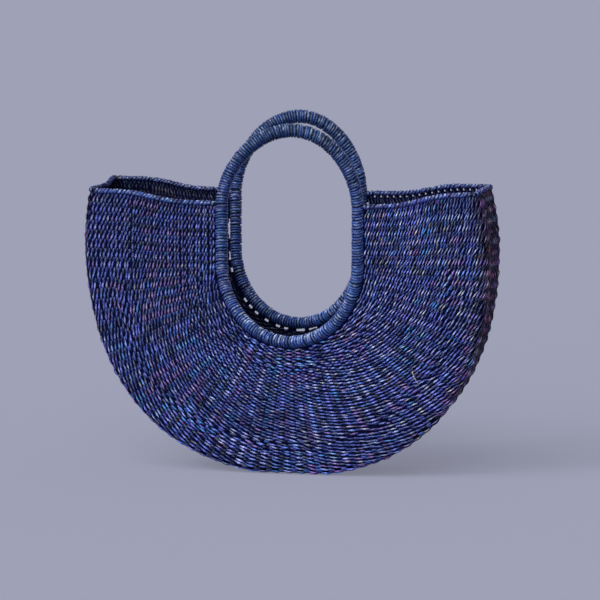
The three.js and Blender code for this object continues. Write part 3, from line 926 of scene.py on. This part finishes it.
def add_winding(piece, route, pitch, radius, lean, strand, rng, tint, swell=0):
    """Straw wound over a bundle as one strand, turn beside turn, with a layer under it dyed near black as
    painted shade in the grooves.

    tint is a list of tints that are spread evenly over the route.
    """
    turns = int(round(route.length / pitch))
    count = turns * POINTS_PER_TURN + 1
    turn = np.linspace(0, turns, count)

    def varied(mean, noise):
        return np.interp(turn, np.arange(turns + 1), rng.normal(mean, noise, turns + 1))

    angle = 2 * math.pi * turn + varied(0, ANGLE_NOISE)
    slack = varied(0, SLACK_NOISE)
    slack[:POINTS_PER_TURN] = slack[-POINTS_PER_TURN:] = 0
    taper = np.minimum(1, np.minimum(turn, turns - turn) / LEAN_TURNS)
    along = (turn + slack) / turns * route.length + lean * taper * np.cos(angle)
    p, _, first, second = route.at(np.clip(along, 0, route.length))
    lift = radius - strand[1] + varied(0, LIFT_NOISE) + swell * np.sin(math.pi * turn / turns)
    out = first * np.cos(angle)[:, None] + second * np.sin(angle)[:, None]
    centres = p + out * lift[:, None]
    travel = unit(np.gradient(centres, axis=0))
    radial = unit(out - dot(out, travel) * travel)
    widths = strand[0] * varied(1, STRAND_NOISE)
    places = np.linspace(0, 1, len(tint))
    tint = np.stack([np.interp(turn / turns, places, channel) for channel in tint.T], axis=-1)
    shades = dye_runs(rng, 1, turns, WOUND_RUNS)[0]
    shades = np.repeat(shades + (DYE_SHARE @ DYES - shades) * WOUND_EVENNESS, POINTS_PER_TURN, axis=0)
    shades = (np.concatenate([shades, shades[-1:]]) * tint)[:, None]
    # Painted light and shade: flanks dark as shade in the grooves, straw that faces up lighter, highlights
    # on crests
    above = out[:, 2, None, None]
    glint = rng.random((count, 1, 1)) ** GLINT_RARITY * WOUND_GLINT_SPOT[:, None]
    glint = glint * tint.mean(axis=1)[:, None, None]
    glint = np.clip(glint * (WOUND_GLINT_BY_FACING[0] + WOUND_GLINT_BY_FACING[1] * above), 0, MOST_GLINT)
    shades = shades * (WOUND_TOP_LIGHT[0] + WOUND_TOP_LIGHT[1] * above)
    shades = shades * WOUND_SHADE[:, None] * (1 - glint) + WOUND_GLINT_DYE * glint
    radii = (np.full(count, strand[1]), widths)
    side = np.cross(travel, radial)
    add_tube(piece, centres, radial, side, radii, len(WOUND_GLINT_SPOT), shades, WOUND_BAND, POINTS_PER_TURN)
    s = np.linspace(0, route.length, int(route.length / CORE_STEP))
    p, _, first, second = route.at(s)
    core = radius - CORE_DEPTH * strand[1] + swell * np.sin(math.pi * s / route.length)
    add_tube(piece, p, first, second, (core, core), CORE_SIDES, PAINTED_SHADE_DYE, CORE_BAND)


def add_fibre(piece, start, along, up, length, curl, radius, dye, band):
    """A loose fibre that leaves the wall in a shallow curve."""
    t = np.linspace(0, 1, FIBRE_RINGS)[:, None]
    side = np.cross(along, up)
    centres = start + along * length * t + up * length * curl[0] * t**2 + side * length * curl[1] * t**2
    travel = unit(np.gradient(centres, axis=0))
    first = unit(up - dot(np.broadcast_to(up, travel.shape), travel) * travel)
    taper = radius * (1 - FIBRE_TAPER * t[:, 0])
    second = np.cross(travel, first)
    add_tube(piece, centres, first, second, (taper, taper), FIBRE_SIDES, dye, band)


def nodes_of(owner):
    """Clears the owner's node tree and returns a short way to make a node in it.

    An input is a plain value, an output of another node, or a node, which stands for its first output.
    """
    owner.use_nodes = True
    tree = owner.node_tree
    tree.nodes.clear()

    def node(kind, inputs=None, **settings):
        made = tree.nodes.new("ShaderNode" + kind)
        for key, value in settings.items():
            setattr(made, key, value)
        for key, value in (inputs or {}).items():
            value = value.outputs[0] if isinstance(value, bpy.types.Node) else value
            if isinstance(value, bpy.types.NodeSocket):
                tree.links.new(value, made.inputs[key])
            else:
                made.inputs[key].default_value = value
        return made

    return node


def straw_material(name, roughness, gloss):
    """Dyed grass straw: each strand is streaked along its length, with a satin gloss."""
    material = bpy.data.materials.new(name)
    node = nodes_of(material)

    def gain_of(value, low, high):
        span = {"Value": value, "From Min": 0.3, "From Max": 0.7, "To Min": low, "To Max": high}
        return node("MapRange", span)

    def noise_on(vector, scale, detail):
        grain = {"Vector": vector, "Scale": scale, "Detail": detail, "Roughness": 0.6}
        return node("TexNoise", grain)

    strand = node("UVMap", uv_map="strand")
    streak = noise_on(node("Mapping", {"Vector": strand, "Scale": STREAK_STRETCH}), scale=1.0, detail=3.0)
    speck = noise_on(strand, scale=0.75, detail=2.0)
    cloud = noise_on(node("TexCoord").outputs["Object"], scale=45.0, detail=2.0)
    lay = {"Vector": strand, "Scale": 0.16, "Distortion": 1.2, "Detail": 1.0}
    twist = node("TexWave", lay, bands_direction="DIAGONAL").outputs["Fac"]
    gain = gain_of(streak, *STREAK_GAIN)
    for value, span in ((cloud, CLOUD_GAIN), (speck, SPECK_GAIN), (twist, TWIST_GAIN)):
        gain = node("Math", {0: gain, 1: gain_of(value, *span)}, operation="MULTIPLY")
    dye = node("Attribute", attribute_name="dye")
    relief = node("Math", {0: streak, 1: twist}, operation="ADD")
    shader = node("BsdfPrincipled", {
        "Base Color": node("VectorMath", {0: dye, "Scale": gain}, operation="SCALE"),
        "Roughness": gain_of(speck, roughness + ROUGHNESS_SPREAD, roughness - ROUGHNESS_SPREAD),
        "Specular IOR Level": gloss,
        "Specular Tint": GLOSS_TINT,
        "Normal": node("Bump", {"Height": relief, "Strength": 0.6, "Distance": 0.0003}),
    })
    node("OutputMaterial", {"Surface": shader})
    return material


def stem_material(name):
    """The undyed grass stems inside the rings and rims, with a fine grain."""
    material = bpy.data.materials.new(name)
    node = nodes_of(material)
    place = node("TexCoord").outputs["Object"]
    grain = node("TexNoise", {"Vector": place, "Scale": 420.0, "Detail": 4.0, "Roughness": 0.6})
    ramp = node("ValToRGB", {"Fac": grain})
    ramp.color_ramp.elements[0].color = (*(STEM_DYE * 0.45), 1)
    ramp.color_ramp.elements[1].color = (*(STEM_DYE * 1.25), 1)
    shader = node("BsdfPrincipled", {
        "Base Color": ramp,
        "Roughness": 0.75,
        "Specular IOR Level": 0.3,
        "Normal": node("Bump", {"Height": grain, "Strength": 0.4, "Distance": 0.0005}),
    })
    node("OutputMaterial", {"Surface": shader})
    return material


WEAVE = straw_material("twined_straw", roughness=0.30, gloss=0.45)
INSIDE = straw_material("twined_straw_inside", roughness=0.5, gloss=0.3)
GUSSET = straw_material("twined_straw_gusset", roughness=0.6, gloss=0.12)
GROUND = straw_material("straw_stakes", roughness=0.8, gloss=0.0)
WOUND = straw_material("wound_straw", roughness=0.32, gloss=0.38)
WOUND_END = straw_material("wound_straw_end", roughness=0.6, gloss=0.12)
STEMS = stem_material("grass_stems")


def bend(piece, half):
    """Bakes the piece's placement into its mesh; it doesn't bend the piece."""
    start, end = (0, half.side * BLEND_FROM, 0), (0, half.side * BLEND_TO, 0)
    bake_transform(piece)
    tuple(start)
    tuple(end)


def make_panel(half):
    rng = np.random.default_rng(PANEL_SEED + half.side)
    node = half.name + "_panel"
    for outside, name, material in ((True, "weave", WEAVE), (False, "inside", INSIDE)):
        for kind, ending in ((OVER_STAKE, ""), (CROSSING, "_between")):
            piece = Piece()
            add_weave(piece, half, PANEL_ROWS, kind, outside, rng)
            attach(piece.mesh(node + "_" + name + ending, material, "twined_straw", node), half.body)
    piece = Piece()
    add_ground(piece, half, 0, 1, 2 * MOST_ROWS, no_holes if half is FRONT else back_holes)
    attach(piece.mesh(node + "_stakes", GROUND, "twined_straw", node), half.body)


def make_gusset(half):
    rng = np.random.default_rng(GUSSET_SEED + half.side)
    node = half.name + "_gusset"
    for outside, name, material in ((True, "weave", GUSSET), (False, "inside", INSIDE)):
        piece = Piece()
        for kind in (OVER_STAKE, CROSSING):
            add_weave(piece, half, GUSSET_WEAVE_ROWS, kind, outside, rng)
        bend(piece.mesh(node + "_" + name, material, "twined_straw", node), half)
    piece = Piece()
    add_ground(piece, half, 1, 2, GUSSET_ROWS + 1, no_holes, GUSSET_TINT)
    bend(piece.mesh(node + "_stakes", GROUND, "twined_straw", node), half)


def make_seam():
    """The closing rows on both sides of the middle lean towards each other."""
    rng = np.random.default_rng(SEAM_SEED)
    for half in (FRONT, BACK):
        for outside, name in ((True, "seam_row"), (False, "seam_row_inside")):
            piece = Piece()
            for kind in (OVER_STAKE, CROSSING):
                add_weave(piece, half, SEAM_ROWS, kind, outside, rng)
            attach(piece.mesh(half.name + "_" + name, GUSSET, "twined_straw", "gusset_seam"), "base")


def make_ring(half):
    rng = np.random.default_rng(RING_SEED + half.side)
    parts = ((half.lower, "_ring_binding", 0, BOWL_TINT), (half.upper, "_grip_wrap", GRIP_SWELL, ARCH_TINT))
    for line, node, swell, middle in parts:
        piece = Piece()
        route = ring_route(half, line)
        tint = RING_TINT * np.array([np.ones(3), middle, middle, np.ones(3)])
        add_winding(piece, route, RING_PITCH, WINDING_RADIUS, RING_LEAN, RING_STRAND, rng, tint, swell)
        name = half.name + node
        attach(piece.mesh(name + "_strands", WOUND, "wound_straw", name), half.body)


def make_rims(half):
    rng = np.random.default_rng(RIM_SEED + half.side)
    browner = np.linspace(0, 1 / END_TINT_PART, TINT_STEPS)[:, None].clip(0, 1)
    for at_left in (True, False):
        place = half.name + ("_left" if at_left else "_right")
        lean = -RIM_LEAN if at_left else RIM_LEAN
        edge = np.full(TINT_STEPS, 0.0 if at_left else 1.0)
        piece = Piece()
        tint = RIM_TINT * wall_tint(edge, np.linspace(0, 1, TINT_STEPS))
        # The back rim is painted darker, as shade inside the mouth
        if half is BACK:
            tint = tint * BACK_RIM_SHADE
        route = rim_route(half, at_left, 0, 1)
        add_winding(piece, route, RIM_PITCH, RIM_RADIUS, lean, RIM_STRAND, rng, tint)
        node = place + "_rim_binding"
        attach(piece.mesh(node + "_strands", WOUND, "wound_straw", node), half.body)
        route = rim_route(half, at_left, 1, 2)
        piece = Piece()
        tint = RIM_TINT * (1 + (END_TINT - 1) * browner) * (LEFT_END_SHADE if at_left else 1)
        add_winding(piece, route, RIM_PITCH, RIM_RADIUS, lean, RIM_STRAND, rng, tint)
        node = place + "_end_binding"
        bend(piece.mesh(node + "_strands", WOUND_END, "wound_straw", node), half)
        piece = Piece()
        p, _, first, second = route.at(np.linspace(0, route.length, END_CORE_RINGS))
        add_tube(piece, p, first, second, (RIM_CORE_RADIUS, RIM_CORE_RADIUS), END_CORE_SIDES, STEM_DYE)
        node = place + "_end_core"
        bend(piece.mesh(node + "_stems", STEMS, "stem_bundle", node), half)


def make_fibres(half):
    """Loose ends of straw that stand off the weave, and one pale undyed piece on the front wall."""
    rng = np.random.default_rng(FIBRE_SEED + half.side)
    piece = Piece()
    f, q = rng.uniform(*FIBRE_F, FIBRES), rng.uniform(*FIBRE_Q, FIBRES)
    p, along, across, normal, _ = wall_frame(half, f, q)
    bands = np.linspace(0, FIBRE_BAND, FIBRES + 1)
    for i in range(FIBRES):
        turn = rng.normal(0, FIBRE_TURN)
        way = along[i] * math.cos(turn) + across[i] * math.sin(turn)
        start = p[i] + normal[i] * FIBRE_HEIGHT
        dye = DYES[rng.choice(FIBRE_DYES)] * FIBRE_BRIGHTNESS
        length = rng.uniform(*FIBRE_LENGTHS) * MM
        curl = (rng.uniform(*FIBRE_RISE), rng.uniform(*FIBRE_SWEEP))
        add_fibre(piece, start, way, normal[i], length, curl, FIBRE_RADIUS, dye, bands[i:i + 2])
    if half is FRONT:
        p, along, across, normal, _ = wall_frame(half, [STRAY_AT[0]], [STRAY_AT[1]])
        start = p[0] + normal[0] * STRAY_HEIGHT
        way = along[0] * STRAY_WAY[0] + across[0] * STRAY_WAY[1]
        looks = (STRAY_RADIUS, PALE_STRAW, STRAY_BAND)
        add_fibre(piece, start, way, normal[0], STRAY_LENGTH, STRAY_CURL, *looks)
    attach(piece.mesh(half.name + "_loose_fibres", WEAVE, "twined_straw"), half.body)


def make_floor():
    """A plain pale floor in the backdrop's colour, on which the camera sees the shadow softened."""
    material = bpy.data.materials.new("floor")
    node = nodes_of(material)
    shader = node("BsdfPrincipled", {"Base Color": BACKDROP, "Roughness": 1.0, "Specular IOR Level": 0.0})
    even = node("Emission", {"Color": BACKDROP, "Strength": 1.0})
    camera_ray = node("LightPath").outputs["Is Camera Ray"]
    softer = node("Math", {0: camera_ray, 1: FLOOR_EVEN}, operation="MULTIPLY")
    node("OutputMaterial", {"Surface": node("MixShader", {"Fac": softer, 1: shader, 2: even})})
    corners = [(x * FLOOR_REACH, y * FLOOR_REACH, 0) for x, y in ((-1, -1), (1, -1), (1, 1), (-1, 1))]
    mesh = bpy.data.meshes.new("floor")
    mesh.from_pydata(corners, [], [(0, 1, 2, 3)])
    mesh.materials.append(material)
    floor = placed("floor", mesh)


def make_world():
    """Part of the light comes from all round. The camera and reflections see the plain backdrop."""
    world = bpy.data.worlds.new("studio")
    bpy.context.scene.world = world
    node = nodes_of(world)
    rays = node("LightPath").outputs
    seen = rays["Is Camera Ray"]
    for ray in ("Is Glossy Ray", "Is Transmission Ray"):
        seen = node("Math", {0: seen, 1: rays[ray]}, operation="MAXIMUM")
    fill = node("Background", {"Color": (1, 1, 1, 1), "Strength": FILL_LIGHT})
    backdrop = node("Background", {"Color": BACKDROP, "Strength": 1.0})
    node("OutputWorld", {"Surface": node("MixShader", {"Fac": seen, 1: fill, 2: backdrop})})


def make_sun(name, towards, share, angle):
    """A distant lamp that gives the floor this share of its light."""
    towards = Vector(towards).normalized()
    lamp = bpy.data.lights.new(name, "SUN")
    lamp.angle = math.radians(angle)
    lamp.energy = share * math.pi / towards.z
    sun = placed(name, lamp)
    sun.rotation_mode = "QUATERNION"
    sun.rotation_quaternion = towards.to_track_quat("Z", "Y")


def make_camera():
    a, e = CAMERA_AZIMUTH, CAMERA_ELEVATION
    back = Vector((math.sin(a) * math.cos(e), -math.cos(a) * math.cos(e), math.sin(e)))
    right = Vector((math.cos(a), math.sin(a), 0))
    aim = Vector((0, 0, AIM_HEIGHT)) + right * AIM_RIGHT - back.cross(right) * AIM_DOWN
    data = bpy.data.cameras.new("camera")
    data.sensor_width = SENSOR
    data.lens = SENSOR * CAMERA_DISTANCE / (PHOTO_PIXELS * METRES_PER_PIXEL)
    data.clip_start, data.clip_end = 0.1, 100
    camera = placed("camera", data)
    camera.location = aim + back * CAMERA_DISTANCE
    camera.rotation_mode = "QUATERNION"
    camera.rotation_quaternion = back.to_track_quat("Z", "Y")
    bpy.context.scene.camera = camera


bpy.context.scene.view_settings.view_transform = "Standard"
make_camera()
make_world()
make_sun("front", (-0.5, -1, 0.75), share=0.54, angle=80)
make_sun("key", (-0.8, -0.9, 1), share=0.10, angle=14)
make_floor()
for half in (FRONT, BACK):
    make_panel(half)
    make_gusset(half)
    make_ring(half)
    make_rims(half)
    make_fibres(half)
make_seam()

# The bundles inside the rings and rims are shown as they are, with the look of grass stems
for name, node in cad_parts.items():
    if name.endswith(("ring_core", "rim_core")):
        node.active_material = STEMS

bpy.context.view_layer.update()
